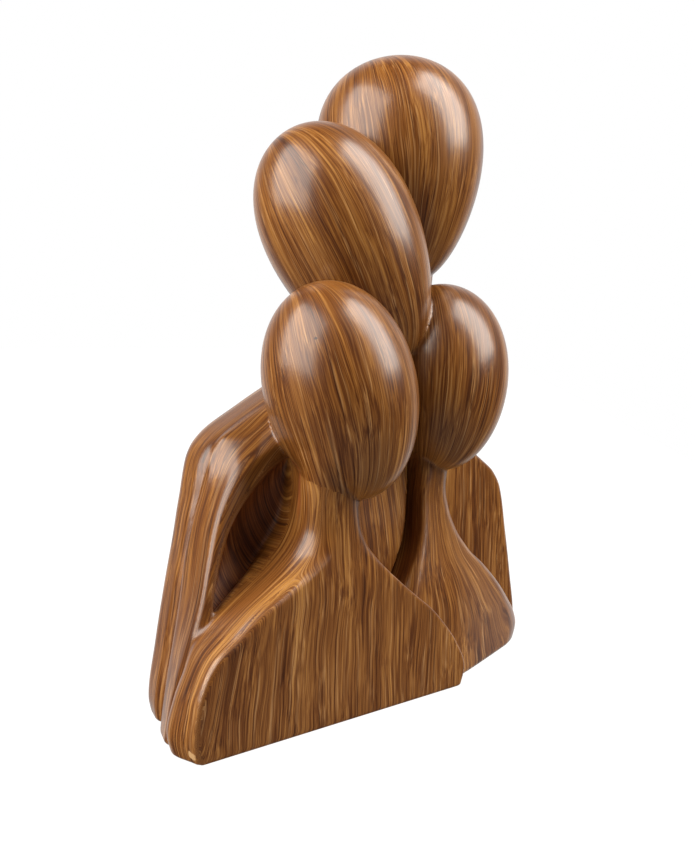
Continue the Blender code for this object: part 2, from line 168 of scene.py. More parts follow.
# The first child's throat is filled out on the left by a bar, given by points and
# its radius there. Its head runs smoothly into the nape to the left of a plane
# that leans with y, and low down.
neck = {
    "bar": ((-4.15, -2.20, 7.4, 1.00), (-4.38, -2.36, 9.4, 0.94), (-4.32, -2.50, 10.4, 0.90)),
    "barEase": 0.5,
    "napeEase": 0.8,
    "lean": 0.35,
    "depth": -1.9,           # y at which the plane's x is as given next
    "across": (-5.9, -4.8),  # eased in full to the left of the first, not at all right of the second
    "heights": (10.6, 11.8),     # eased in full below the first, not at all above the second
}


# Cubic through the given values that never overshoots them: its slope at each
# is a weighted harmonic mean of the rises on both sides, and 0 at a turning point.
def flow(at, keys, values):
    keys = np.asarray(keys, float)
    values = np.asarray(values, float)
    gap = np.diff(keys)
    rise = np.diff(values) / gap
    slope = np.empty_like(values)
    slope[0], slope[-1] = rise[0], rise[-1]
    near, far = 2 * gap[1:] + gap[:-1], gap[1:] + 2 * gap[:-1]
    sameWay = rise[:-1] * rise[1:] > 0
    before = np.where(sameWay, rise[:-1], 1.0)
    after = np.where(sameWay, rise[1:], 1.0)
    slope[1:-1] = np.where(sameWay, (near + far) / (near / before + far / after), 0.0)
    i = np.clip(np.searchsorted(keys, at, side="right") - 1, 0, len(gap) - 1)
    t = (at - keys[i]) / gap[i]
    return ((1 + 2 * t) * (1 - t) ** 2 * values[i] + t * (1 - t) ** 2 * gap[i] * slope[i]
            + t * t * (3 - 2 * t) * values[i + 1] + t * t * (t - 1) * gap[i] * slope[i + 1])


# 0 below low, 1 above high, and an even S between them: t^2 (3 - 2 t).
def smooth(value, low, high):
    t = np.clip((value - low) / (high - low), 0, 1)
    return t * t * (3 - 2 * t)


# The lower of two fields, with the crease between them filled: where they differ
# by less than ease it is lower still by (ease - difference)^2 / (4 ease).
def easedMin(a, b, ease):
    gap = np.clip(ease - np.abs(a - b), 0, None)
    return np.minimum(a, b) - gap * gap / (4 * ease)


# The higher of two fields, with the edge between them rounded in the same way.
def easedMax(a, b, ease):
    return -easedMin(-a, -b, ease)


# The ten values of a bust's section at heights z.
def sectionAt(bust, z):
    heights, *columns = zip(*bust["sections"])
    at = np.clip(z, heights[0], heights[-1])
    return [flow(at, heights, column).astype(np.float32) for column in columns]


# Undoes the second child's turn: its front runs back by turn times the soft ramp
# (run + sqrt(run^2 + 1)) / 2, with run counted from turnStart, and its back stays.
def unturned(bust, x, y, back, depth):
    run = x - bust["turnStart"]
    push = bust["turn"] * 0.5 * (run + np.sqrt(run * run + 1)) / depth
    return (y - push * back) / (1 - push)


# Distance to a level section's outline, below 0 inside: that of a box with
# rounded corners, max(|u|, |v|) away from the corners and the length of what
# passes the radius in both near them.
def bustLevel(bust, x, y, z):
    left0, left1, right0, right1, front, back, *radii = sectionAt(bust, z)
    width = (right0 + right1 - left0 - left1) / 2
    depth = back - front
    if bust["turn"]:
        y = unturned(bust, x, y, back, depth)
    along = (y - front) / depth
    left = left0 + (left1 - left0) * along
    right = right0 + (right1 - right0) * along
    u = ((x - left) / (right - left) - 0.5) * width
    v = (along - 0.5) * depth
    limit = 0.499 * np.minimum(width, depth)    # a corner takes less than half of a side
    frontLeft, frontRight, backRight, backLeft = (np.minimum(radius, limit) for radius in radii)
    radius = np.where(u < 0, np.where(v < 0, frontLeft, backLeft), np.where(v < 0, frontRight, backRight))
    overU = np.abs(u) - width / 2 + radius
    overV = np.abs(v) - depth / 2 + radius
    outside = np.hypot(np.maximum(overU, 0), np.maximum(overV, 0))
    return outside + np.minimum(np.maximum(overU, overV), 0) - radius


# The level distance made even by dividing it by the length of its slope, which is
# 1 across the section and climb up it. The top is cut level.
def bustField(bust, x, y, z):
    probe = 0.05
    level = bustLevel(bust, x, y, z)
    climb = (bustLevel(bust, x, y, z + probe) - bustLevel(bust, x, y, z - probe)) / (2 * probe)
    top = bust["sections"][-1][0]
    return np.maximum(level / np.sqrt(1 + climb * climb), z - top)


# Coordinates along a head's own axes, from its centre.
def inHead(head, x, y, z):
    nod, tilt = math.radians(head["nod"]), math.radians(head["tilt"])
    dx, dy, dz = (value - middle for value, middle in zip((x, y, z), head["centre"]))
    across = dx * math.cos(tilt) - dz * math.sin(tilt)
    up = dx * math.sin(tilt) + dz * math.cos(tilt)
    return across, dy * math.cos(nod) - up * math.sin(nod), dy * math.sin(nod) + up * math.cos(nod)


# Egg: sqrt(reach^2 / girth^2 + t^2) - 1, where t is the height over half the length
# and girth is half the width times (1 + crown t), divided by the length of its slope.
def headField(head, x, y, z):
    leastGirth, leastSize = 0.5, 0.1
    a, b, c = inHead(head, x, y, z)
    half = head["length"] / 2
    t = c / half
    girth = np.maximum(head["width"] / 2 * (1 + head["crown"] * t), leastGirth)
    reach = np.hypot(a, b)
    size = np.maximum(np.hypot(reach / girth, t), leastSize)
    thinning = head["width"] / 2 * head["crown"] / half
    slope = np.hypot(reach / girth ** 2, t / half - reach ** 2 * thinning / girth ** 3) / size
    return (size - 1) / slope


# A spindle along a path: an ellipse across it, whose half width and depth shrink
# to the ends as (1 - s^2)^point, with s from -1 to 1 along the path.
def cutField(cut, x, y, z):
    path = np.asarray(cut["path"], float)
    knots = np.linspace(0, 1, len(path))
    share = np.linspace(0, 1, spindle["pieces"] + 1)
    spine = np.stack([flow(share, knots, path[:, axis]) for axis in range(3)], axis=1)
    planeX, planeZ = np.broadcast_arrays(np.asarray(x), np.asarray(z))
    start, end = spine[:-1], spine[1:]
    runX, runZ = (end - start)[:, 0], (end - start)[:, 2]
    dx = planeX[..., None] - start[:, 0]
    dz = planeZ[..., None] - start[:, 2]
    t = np.clip((dx * runX + dz * runZ) / (runX ** 2 + runZ ** 2), 0, 1)
    away = np.hypot(dx - t * runX, dz - t * runZ)
    nearest = away.argmin(-1)[..., None]
    aside = np.take_along_axis(away, nearest, -1)[..., 0]
    s = (nearest[..., 0] + np.take_along_axis(t, nearest, -1)[..., 0]) / len(start)
    narrow = np.maximum(1 - (2 * s - 1) ** 2, spindle["thinnest"])
    halfWidth = cut["width"] / 2 * narrow ** cut["point"]
    halfDepth = cut["depth"] * narrow ** (spindle["depthPoint"] * cut["point"])
    inward = y - np.interp(s, share, spine[:, 1])
    size = np.maximum(np.hypot(aside / halfWidth, inward / halfDepth), spindle["smallest"])
    slope = np.hypot(aside / halfWidth ** 2, inward / halfDepth ** 2) / size
    return (size - 1) / np.maximum(slope, spindle["smallest"])


# The field with a cut taken out of it and the rim rounded over.
def cutAway(field, cut, x, y, z):
    return easedMax(field, -cutField(cut, x, y, z).astype(np.float32), cut["rimEase"])


# A round bar along straight lines, its radius changing evenly along each.
def barField(bar, x, y, z):
    nearest = None
    for low, high in zip(bar, bar[1:]):
        run = [b - a for a, b in zip(low[:3], high[:3])]
        gap = (x - low[0], y - low[1], z - low[2])
        t = np.clip(sum(g * r for g, r in zip(gap, run)) / sum(r * r for r in run), 0, 1)
        away = np.sqrt(sum((g - t * r) ** 2 for g, r in zip(gap, run))) - low[3] - (high[3] - low[3]) * t
        nearest = away if nearest is None else np.minimum(nearest, away)
    return nearest


# The first child: its bust with the throat filled out, and its head, which meets
# the nape in a wide curve and everything else in a crease.
def childAField(x, y, z):
    bust = bustField(busts["childA"], x, y, z)
    bust = easedMin(bust, barField(neck["bar"], x, y, z), neck["barEase"])
    leftOfPlane = 1 - smooth(x + neck["lean"] * (y - neck["depth"]), *neck["across"])
    toNape = leftOfPlane * (1 - smooth(z, *neck["heights"]))
    ease = group["headEase"] + (neck["napeEase"] - group["headEase"]) * toNape
    return easedMin(bust, headField(heads["childAHead"], x, y, z), ease)


# Where the grid's planes stand, a little past the solid's box all round.
def gridAxes():
    low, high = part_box("family_group")
    margin, step = group["margin"], group["step"]
    return [np.arange(low[i] / unit + offset[i] - margin, high[i] / unit + offset[i] + margin, step)
            for i in range(3)]


# The whole sculpture as one field on the grid, below 0 inside it. The hollow is
# cut into the mother alone, and the groove into all but the first child.
def carve():
    xs, ys, zs = gridAxes()
    x, y, z = xs[:, None, None], ys[None, :, None], zs[None, None, :]
    x, y, z = (value.astype(np.float32) for value in (x, y, z))
    field = cutAway(bustField(busts["mother"], x, y, z), cuts["hollow"], x, y, z)
    for name in ("father", "childB"):
        field = easedMin(field, bustField(busts[name], x, y, z), group["meetingEase"])
    field = cutAway(field, cuts["groove"], x, y, z)
    field = easedMin(field, childAField(x, y, z), group["meetingEase"])
    for name in ("motherHead", "fatherHead", "childBHead"):
        field = easedMin(field, headField(heads[name], x, y, z), group["headEase"])
    return easedMax(field, -z, group["baseEase"]), (xs, ys, zs)


# One point in each grid cell that the surface crosses, at the mean of its
# edges' crossings, and one four-sided face round each edge that is crossed.
def surfaceNet(field, axes):
    cellShape = np.array(field.shape) - 1
    cells, places, faces = [], [], []
    for axis in range(3):
        low = np.moveaxis(field, axis, 0)[:-1]
        high = np.moveaxis(field, axis, 0)[1:]
        found = np.nonzero((low < 0) != (high < 0))
        start, end = low[found], high[found]
        first, second = [i for i in range(3) if i != axis]
        place = np.empty((len(start), 3))
        place[:, axis] = found[0] + start / (start - end)
        place[:, first], place[:, second] = found[1], found[2]
        cell = np.empty((len(start), 4, 3), int)
        cell[:, :, axis] = found[0][:, None]
        cell[:, :, first] = found[1][:, None] + np.array((-1, 0, 0, -1))
        cell[:, :, second] = found[2][:, None] + np.array((-1, -1, 0, 0))
        number = (cell[..., 0] * cellShape[1] + cell[..., 1]) * cellShape[2] + cell[..., 2]
        cells.append(number.ravel())
        places.append(np.repeat(place, 4, axis=0))
        outwards = (start < 0) != (axis == 1)
        faces.append(np.where(outwards[:, None], number, number[:, ::-1]))
    used, which = np.unique(np.concatenate(cells), return_inverse=True)
    places = np.concatenate(places)
    count = np.bincount(which)
    points = np.stack([np.bincount(which, places[:, i]) / count for i in range(3)], axis=1)
    origin = np.array([axis[0] for axis in axes])
    return origin + points * group["step"], np.searchsorted(used, np.concatenate(faces))


# Value and slope of the field at points, straight-line between grid points.
def readField(field, axes, points):
    origin = np.array([axis[0] for axis in axes])
    at = (points - origin) / group["step"]
    cell = np.clip(at.astype(int), 1, np.array(field.shape) - 3)
    part = at - cell
    value = np.zeros(len(points))
    slope = np.zeros((len(points), 3))
    for corner in np.ndindex(2, 2, 2):
        weight = np.prod(np.where(corner, part, 1 - part), axis=1)
        i, j, k = (cell + corner).T
        value += weight * field[i, j, k]
        slope[:, 0] += weight * (field[i + 1, j, k] - field[i - 1, j, k])
        slope[:, 1] += weight * (field[i, j + 1, k] - field[i, j - 1, k])
        slope[:, 2] += weight * (field[i, j, k + 1] - field[i, j, k - 1])
    return value, slope / (2 * group["step"])


# Evens out the net: each point goes half way to the mean of its neighbours, then
# back onto the surface, in two steps of value / slope^2 along the field's slope.
def evened(points, faces, field, axes):
    leastSlope = 0.2
    start, end = np.concatenate([faces[:, (i, (i + 1) % 4)] for i in range(4)]).T
    count = np.bincount(start, minlength=len(points))[:, None]
    for _ in range(group["evenings"]):
        total = np.stack([np.bincount(start, points[end, i], len(points)) for i in range(3)], axis=1)
        points = points + 0.5 * (total / count - points)
        for _ in range(2):
            value, slope = readField(field, axes, points)
            points = points - (value / np.maximum((slope ** 2).sum(1), leastSlope))[:, None] * slope
    return points


# A mesh from points in units and faces of equal length, put into the frame.
def meshOf(name, points, faces):
    mesh = bpy.data.meshes.new(name)
    mesh.vertices.add(len(points))
    mesh.vertices.foreach_set("co", ((points - offset) * unit).astype(np.float32).ravel())
    mesh.loops.add(faces.size)
    mesh.loops.foreach_set("vertex_index", faces.astype(np.int32).ravel())
    mesh.polygons.add(len(faces))
    mesh.polygons.foreach_set("loop_start", np.arange(0, faces.size, faces.shape[1], dtype=np.int32))
    mesh.update(calc_edges=True)
    return mesh


# The mesh with a share of its triangles, the rest taken away where it is flattest.
def thinned(mesh, share):
    holder = bpy.data.objects.new("holder", mesh)
    bpy.context.scene.collection.objects.link(holder)
    collapse = holder.modifiers.new("collapse", "DECIMATE")
    collapse.ratio = share
    collapse.use_collapse_triangulate = True
    graph = bpy.context.evaluated_depsgraph_get()
    result = bpy.data.meshes.new_from_object(holder.evaluated_get(graph))
    bpy.data.objects.remove(holder)
    return result


# The grain: u is the distance round a figure, across its fibres, and v the
# height along them.
grain = {
    "girth": 3.1,            # radius of the cylinder that a child's fibres are laid round
    "wideGirth": 12.0,       # and the mother's and father's
    "poleBack": 0.5,         # how far behind a head's axis its fibres meet, in half widths
    "closest": 0.03,         # least distance to a side where sides are mixed
    "figureStep": 60.0,      # how far apart the figures' grain starts along the fibres
}
childAFibres = {
    "middle": -3.1,              # x where the front's u is 0
    "front": -3.5,               # y of the front
    "lean": 0.055,               # the fibres lean left near the base
    "leanBelow": 3.8,
    "leanAcross": (-8.0, 3.0),   # in full to the left of the first, not at all right of the second
    "left": -2.9,                # u at the front edges of the sides
    "right": 0.6,
    "toHead": (9.0, 11.5),       # heights where the neck takes over the head's fibres
    "seam": 2.2,                 # angle at which the head's fibres start again
}
childBFibres = {
    "width": 5.0,                # of the fan
    "back": -4.0,
}
# The flow's rows give how far the fibres of the mother's shoulder have moved
# aside at each height.
motherFibres = {
    "flow": ((0.0, -10.9), (4.45, -9.6), (6.85, -8.2), (8.5, -7.0), (10.7, -4.9),
             (12.0, -2.8), (13.5, 0.0), (15.8, 1.5)),
    "flowLeftOf": -3.2,          # the front flows to the left of this and above this,
    "flowAbove": 11.0,           # and is upright elsewhere
    "left": -1.0,
    "right": 4.0,
    "back": -6.0,
    "hollowLean": 0.25,
    "hollowRim": 0.3,            # distance from the hollow where the front's fibres are back
}
fatherFibres = {
    "besideEdge": (-2.5, 2.0),   # they follow the left edge left of the first, not right of the second
    "right": 12.0,
    "back": -4.0,
    "spread": 0.02,              # the back's fibres draw together by this for each unit of height
}


# Angle round a line behind an egg's axis, 0 in front and growing to the right,
# and the height along the axis.
def headTurn(head, x, y, z):
    a, b, c = inHead(head, x, y, z)
    return np.arctan2(a, grain["poleBack"] * head["width"] / 2 - b), c


# One value from four, by how near a point is to each side of the bust: weights
# are one over the distance cubed.
def ringMix(bust, x, y, z, front, left, right, back):
    left0, left1, right0, right1, near, far = sectionAt(bust, z)[:6]
    if bust["turn"]:
        y = unturned(bust, x, y, far, far - near)
    share = np.clip((y - near) / (far - near), 0, 1)
    gaps = (y - near, x - left0 - (left1 - left0) * share,
            right0 + (right1 - right0) * share - x, far - y)
    weights = [1 / np.maximum(gap, grain["closest"]) ** 3 for gap in gaps]
    mixed = sum(weight * value for weight, value in zip(weights, (front, left, right, back)))
    return mixed / sum(weights)


# Upright in front with a lean near the base, along the edge on the shoulders,
# and round the head's axis on the neck.
def childAGrain(x, y, z):
    laid = childAFibres
    below = np.clip(laid["leanBelow"] - z, 0, None)
    upright = x - laid["middle"] + laid["lean"] * below ** 2 * (1 - smooth(x, *laid["leanAcross"]))
    inwards = y - laid["front"]
    side = laid["left"] - inwards
    u = ringMix(busts["childA"], x, y, z, upright, side, laid["right"] + inwards, side)
    turn = headTurn(heads["childAHead"], x, y, z)[0]
    turn = np.where(turn > laid["seam"], turn - 2 * math.pi, turn)
    share = smooth(z, *laid["toHead"])
    return u * (1 - share) + grain["girth"] * turn * share, z


# A fan from the neck down, even across the bust at each height.
def childBGrain(x, y, z):
    bust = busts["childB"]
    columns = sectionAt(bust, z)
    left, right, near, far = (columns[i] for i in (0, 2, 4, 5))
    half = childBFibres["width"] / 2
    fan = ((x - left) / (right - left) * 2 - 1) * half
    inwards = unturned(bust, x, y, far, far - near) - near
    return ringMix(bust, x, y, z, fan, -half - inwards, half + inwards, childBFibres["back"] - fan), z


# Along the shoulder and the arm on the left, upright on the right, and slanting
# in the hollow.
def motherGrain(x, y, z):
    laid = motherFibres
    heights, shifts = zip(*laid["flow"])
    shift = flow(np.clip(z, heights[0], heights[-1]), heights, shifts)
    front = np.where((x < laid["flowLeftOf"]) | (z > laid["flowAbove"]), x - shift, x)
    inwards = y - sectionAt(busts["mother"], z)[4]
    inHollow = 1 - smooth(cutField(cuts["hollow"], x, y, z), 0.0, laid["hollowRim"])
    u = ringMix(busts["mother"], x, y, z, front, laid["left"] - inwards, laid["right"] + inwards,
                laid["back"] - front)
    return u * (1 - inHollow) + (x + laid["hollowLean"] * z) * inHollow, z


# Beside the outline on the left in front, upright on the right and behind.
def fatherGrain(x, y, z):
    laid = fatherFibres
    columns = sectionAt(busts["father"], z)
    left, near = columns[0], columns[4]
    front = x - left * (1 - smooth(x, *laid["besideEdge"]))
    back = laid["back"] - x * (1 + laid["spread"] * z)
    return ringMix(busts["father"], x, y, z, front, near - y, laid["right"] + (y - near), back), z


# The number of the form that each triangle belongs to, the one whose field is
# lowest there: four busts, then four heads.
def whichForm(middle):
    x, y, z = middle.T
    fields = [bustField(bust, x, y, z) for bust in busts.values()]
    fields += [headField(head, x, y, z) for head in heads.values()]
    return np.argmin(fields, axis=0)


bustFibres = {
    "childA": (childAGrain, "girth"),
    "mother": (motherGrain, "wideGirth"),
    "father": (fatherGrain, "wideGirth"),
    "childB": (childBGrain, "girth"),
}
grainOrder = {"childA": 0, "childAHead": 0, "childB": 1, "childBHead": 1, "mother": 2, "father": 3,
              "motherHead": 4, "fatherHead": 5}


# Writes each corner's place in the grain, as (u over the girth that it is laid
# round, girth, v).
def addGrain(mesh, triangles):
    form = whichForm(triangles.mean(axis=1))
    places = np.zeros_like(triangles)
    for number, name in enumerate([*busts, *heads]):
        mine = form == number
        x, y, z = np.moveaxis(triangles[mine], -1, 0)
        if name in busts:
            maker, girthName = bustFibres[name]
            girth = grain[girthName]
            u, v = maker(x, y, z)
            turn = u / girth
        else:
            girth = (1 + grain["poleBack"]) * heads[name]["width"] / 2
            turn, v = headTurn(heads[name], x, y, z)
            turn -= 2 * math.pi * np.round((turn - turn[:, :1]) / (2 * math.pi))
            v = v + heads[name]["centre"][2]
        v = v + grain["figureStep"] * grainOrder[name]
        places[mine] = np.stack([turn, np.full_like(turn, girth), v], axis=-1)
    attribute = mesh.attributes.new("grain", "FLOAT_VECTOR", "CORNER")
    attribute.data.foreach_set("vector", places.astype(np.float32).ravel())


# Painted shade in the hollow and the groove: their colour is darkened where shade falls in these
# recesses.
stain = {
    "hollowReach": 0.16,         # how far past the cut's wall it fades out
    "grooveReach": 0.12,
    "grooveShare": 0.5,
    "clearOfChildA": (0.02, 0.16),   # none nearer to the first child than this, all of it past this
}


# Writes how much painted shade each corner has, from 0 to 1.
def addRecessShade(mesh, triangles):
    x, y, z = triangles.reshape(-1, 3).T
    clear = smooth(bustField(busts["childA"], x, y, z), *stain["clearOfChildA"])
    hollow = (1 - smooth(cutField(cuts["hollow"], x, y, z), 0.0, stain["hollowReach"])) * clear
    groove = (1 - smooth(cutField(cuts["groove"], x, y, z), 0.0, stain["grooveReach"])) * clear
    shade = np.maximum(hollow, groove * stain["grooveShare"])
    attribute = mesh.attributes.new("stain", "FLOAT", "CORNER")
    attribute.data.foreach_set("value", shade.astype(np.float32))


# Every triangle's corners, in units.
def cornersOf(mesh):
    places = np.empty(len(mesh.vertices) * 3, np.float32)
    mesh.vertices.foreach_get("co", places)
    which = np.empty(len(mesh.loops), np.int32)
    mesh.loops.foreach_get("vertex_index", which)
    return (places.reshape(-1, 3)[which].astype(float) / unit + offset).reshape(-1, 3, 3)


# One socket of a material; sums, differences and products of wires add Math nodes.
class Wire:
    def __init__(self, tree, socket):
        self.tree, self.socket = tree, socket

    def maths(self, operation, first, second):
        node = self.tree.nodes.new("ShaderNodeMath")
        node.operation = operation
        for socket, value in zip(node.inputs, (first, second)):
            if isinstance(value, Wire):
                self.tree.links.new(value.socket, socket)
            else:
                socket.default_value = value
        return Wire(self.tree, node.outputs[0])

    def __add__(self, other):
        return self.maths("ADD", self, other)

    def __radd__(self, other):
        return self.maths("ADD", other, self)

    def __sub__(self, other):
        return self.maths("SUBTRACT", self, other)

    def __rsub__(self, other):
        return self.maths("SUBTRACT", other, self)

    def __mul__(self, other):
        return self.maths("MULTIPLY", self, other)

    def __rmul__(self, other):
        return self.maths("MULTIPLY", other, self)


# One material and the nodes put into it.
class Finish:
    def __init__(self, name):
        self.material = bpy.data.materials.new(name)
        self.material.use_nodes = True
        self.tree = self.material.node_tree
        self.shader = self.tree.nodes["Principled BSDF"]

    # Adds a node, makes its settings, fills or links its inputs, and gives one of
    # its outputs.
    def node(self, kind, settings=None, inputs=None, output=0):
        made = self.tree.nodes.new("ShaderNode" + kind)
        for name, value in (settings or {}).items():
            if name == "stops":
                while len(made.color_ramp.elements) < len(value):
                    made.color_ramp.elements.new(0.5)
                for stop, (place, colour) in zip(made.color_ramp.elements, value):
                    stop.position = place
                    stop.color = (*colour, 1)
            else:
                setattr(made, name, value)
        for name, value in (inputs or {}).items():
            if isinstance(value, Wire):
                self.tree.links.new(value.socket, made.inputs[name])
            else:
                made.inputs[name].default_value = value
        return Wire(self.tree, made.outputs[output])

    # Vector Math on two vectors.
    def vectors(self, operation, first, second, output=0):
        return self.node("VectorMath", {"operation": operation}, {0: first, 1: second}, output)

    # Noise on a vector stretched by scale, which is (across, across, along).
    def noise(self, vector, scale, detail, roughness=0.5, output="Fac"):
        stretched = self.vectors("MULTIPLY", vector, scale)
        return self.node("TexNoise", {}, {"Vector": stretched, "Scale": 1.0, "Detail": detail,
                                          "Roughness": roughness}, output)

    # Fine noise that is alike in all directions, at so many grains to the metre.
    def speckle(self, vector, scale):
        return self.node("TexNoise", {}, {"Vector": vector, "Scale": scale, "Detail": 2.0})

    # 0 at low and 1 at high, clamped.
    def spread(self, value, low, high):
        return self.node("MapRange", {"clamp": True}, {"Value": value, "From Min": low, "From Max": high})

    # A Mix node's colour sockets are its inputs 6 and 7 and its output 2.
    def mix(self, share, wire, colour, blend="MIX"):
        return self.node("Mix", {"data_type": "RGBA", "blend_type": blend},
                         {0: share, 6: wire, 7: (*colour, 1)}, 2)

    def link(self, wire, name):
        self.tree.links.new(wire.socket, self.shader.inputs[name])

    def fix(self, name, value):
        self.shader.inputs[name].default_value = value


# Small marks: place in units, radius and colour.
marks = (
    ((-11.48, -3.12, 0.36), 0.20, (0.42, 0.25, 0.11)),     # chip at the first child's lower left corner
    ((-5.52, -3.17, 15.38), 0.07, (0.02, 0.008, 0.003)),   # painted shade of a pit in its head, a near-black dot on a surface that is not dented
)
markLook = {"speckle": 700.0, "ragged": 1.6, "edge": (1.0, 0.7)}

# Each layer of grain: scale of the noise, its detail and roughness, the values
# that are spread from 0 to 1, its share of the tone and its share of the relief.
walnutLook = {
    "bands": {"noise": ((1.0, 1.0, 0.10), 2.0, 0.5), "spread": (0.30, 0.70), "tone": 0.24},
    "streaks": {"noise": ((7.0, 7.0, 0.13), 3.0, 0.6), "spread": (0.32, 0.68), "tone": 0.38,
                "relief": 0.3},
    "fibres": {"noise": ((20.0, 20.0, 0.24), 3.0, 0.6), "spread": (0.34, 0.66), "tone": 0.40,
               "relief": 0.6},
    "grit": {"speckle": 900.0, "relief": 0.25},
    "wander": {"noise": ((0.5, 0.5, 0.16), 2.0), "reach": (0.7, 0.7, 0.0)},
    "stops": ((0.12, (0.024, 0.0055, 0.0010)), (0.40, (0.094, 0.0285, 0.0046)),
              (0.64, (0.182, 0.070, 0.0140)), (0.90, (0.310, 0.148, 0.0390))),
    # Pale lines run where their own noise and the fibres' are both high.
    "pale": {"noise": ((9.5, 9.5, 0.12), 2.0), "spread": (0.55, 0.70), "fibres": (0.38, 0.60),
             "share": 0.52, "colour": (0.42, 0.235, 0.094)},
    "recessShadeTint": (1.0, 0.72, 0.55),   # what the painted shade of the recesses leaves of the colour
    "roughness": 0.26,
    "darkRoughness": 0.08,       # added where the tone is darkest
    "recessRoughness": 0.25,      # and where the recesses' painted shade is full
    "coat": 0.22,
    "coatRoughness": 0.20,
    "shine": 0.36,
    "relief": {"Strength": 0.16, "Distance": 0.0004},
}


# Puts the small marks over a colour. By the distance from its middle, in radii and
# with some noise added, a mark is gone past the first of the edge's values and full
# within the second.
def marked(finish, colour, spot):
    ragged = (finish.speckle(spot, markLook["speckle"]) - 0.5) * markLook["ragged"]
    for place, radius, markColour in marks:
        away = finish.vectors("DISTANCE", spot, (np.array(place) - offset) * unit, "Value")
        away = away * (1 / (radius * unit)) + ragged
        colour = finish.mix(finish.spread(away, *markLook["edge"]), colour, markColour)
    return colour


# Walnut under satin lacquer: broad bands, streaks and fine fibres, each a noise
# stretched along the grain, add up to one tone that picks the colour. The place in
# the grain is (girth sin turn, girth cos turn, v), so that the fibres close up
# behind a head, and a slow noise makes it wander.
def walnut():
    look = walnutLook
    finish = Finish("walnutLacquer")
    laid = finish.node("Attribute", {"attribute_name": "grain"}, output="Vector")
    # The painted shade of the hollow and the groove, from 0 to 1: it darkens the colour and dulls the
    # lacquer there.
    recessShaded = finish.node("Attribute", {"attribute_name": "stain"}, output="Fac")
    turn, girth, along = (finish.node("SeparateXYZ", {}, {0: laid}, output) for output in "XYZ")
    sine = finish.node("Math", {"operation": "SINE"}, {0: turn})
    cosine = finish.node("Math", {"operation": "COSINE"}, {0: turn})
    place = finish.node("CombineXYZ", {}, {"X": sine * girth, "Y": cosine * girth, "Z": along})
    wander = finish.noise(place, *look["wander"]["noise"], output="Color")
    wander = finish.vectors("SUBTRACT", wander, (0.5, 0.5, 0.5))
    wander = finish.vectors("MULTIPLY", wander, look["wander"]["reach"])
    place = finish.vectors("ADD", place, wander)
    layers = ("bands", "streaks", "fibres")
    bands, streaks, fibres = (finish.noise(place, *look[name]["noise"]) for name in layers)
    shares = [finish.spread(noise, *look[name]["spread"]) * look[name]["tone"]
              for name, noise in zip(layers, (bands, streaks, fibres))]
    tone = shares[0] + shares[1] + shares[2]
    colour = finish.node("ValToRGB", {"stops": look["stops"]}, {"Fac": tone}, "Color")
    pale = look["pale"]
    lines = finish.spread(finish.noise(place, *pale["noise"]), *pale["spread"])
    lines = lines * finish.spread(fibres, *pale["fibres"]) * pale["share"]
    colour = finish.mix(lines, colour, pale["colour"])
    # Painted shade: the colour is darkened in the hollow and the groove, where shade falls.
    colour = finish.mix(recessShaded, colour, look["recessShadeTint"], "MULTIPLY")
    spot = finish.node("TexCoord", {}, {}, "Object")
    finish.link(marked(finish, colour, spot), "Base Color")
    rough = look["roughness"] + look["darkRoughness"] * (1 - tone) + look["recessRoughness"] * recessShaded
    finish.link(rough, "Roughness")
    finish.link(look["coat"] * (1 - recessShaded), "Coat Weight")
    grit = finish.speckle(spot, look["grit"]["speckle"])
    height = (fibres * look["fibres"]["relief"] + streaks * look["streaks"]["relief"]
              + grit * look["grit"]["relief"])
    finish.link(finish.node("Bump", {}, {"Height": height, **look["relief"]}, "Normal"), "Normal")
    finish.fix("Specular IOR Level", look["shine"])
    finish.fix("Coat Roughness", look["coatRoughness"])
    return finish.material


# The sculpture's surface with its grain and the painted shade of its recesses, in walnut.
def familyGroup():
    field, axes = carve()
    print("field worked out", field.shape)
    points, faces = surfaceNet(field, axes)
    points = evened(points, faces, field, axes)
    print("surface net", len(points), "points", len(faces), "faces")
    net = meshOf("net", points, faces)
    nearlyAll = 0.999            # below 1, so that a coarse net is cut into triangles too
    mesh = thinned(net, min(group["triangles"] / (2 * len(faces)), nearlyAll))
    bpy.data.meshes.remove(net)
    mesh.name = "familyGroup"
    mesh.shade_smooth()
    print("thinned to", len(mesh.polygons), "triangles")
    triangles = cornersOf(mesh)
    addGrain(mesh, triangles)
    addRecessShade(mesh, triangles)
    print("grain and stain laid")
    mesh.materials.append(walnut())
    made = bpy.data.objects.new("familyGroup", mesh)
    bpy.context.scene.collection.objects.link(made)
    return made


sculpture = familyGroup()
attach(sculpture, "root")
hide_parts("family_group")
print("sculpture in place")

viewpoint = {
    "place": (-37.16, -40.12, 17.8),     # in units
    "turn": 42.0,                        # degrees to the right of straight on
    "down": 6.7,
    "lens": 54.04,
    "sensorWidth": 36,
    "nearest": 0.01,                     # that the camera sees, in metres
}


def lookFrom(view):
    camera = bpy.data.objects.new("camera", bpy.data.cameras.new("camera"))
    bpy.context.scene.collection.objects.link(camera)
    camera.location = Vector((np.array(view["place"]) - offset) * unit)
    camera.rotation_euler = (math.radians(90 - view["down"]), 0, -math.radians(view["turn"]))
    camera.data.lens = view["lens"]
    camera.data.sensor_width = view["sensorWidth"]
    camera.data.clip_start = view["nearest"]
    bpy.context.scene.camera = camera


# Reaches to the right and ahead as the camera sees it, in metres. The floor glows
# almost white, so that it and the backdrop are one.
paleFloor = {
    "across": (-1.6, 0.33),
    "ahead": (-0.42, 2.5),
    "grey": 0.05,
    "glow": 0.98,
    "roughness": 0.6,
}


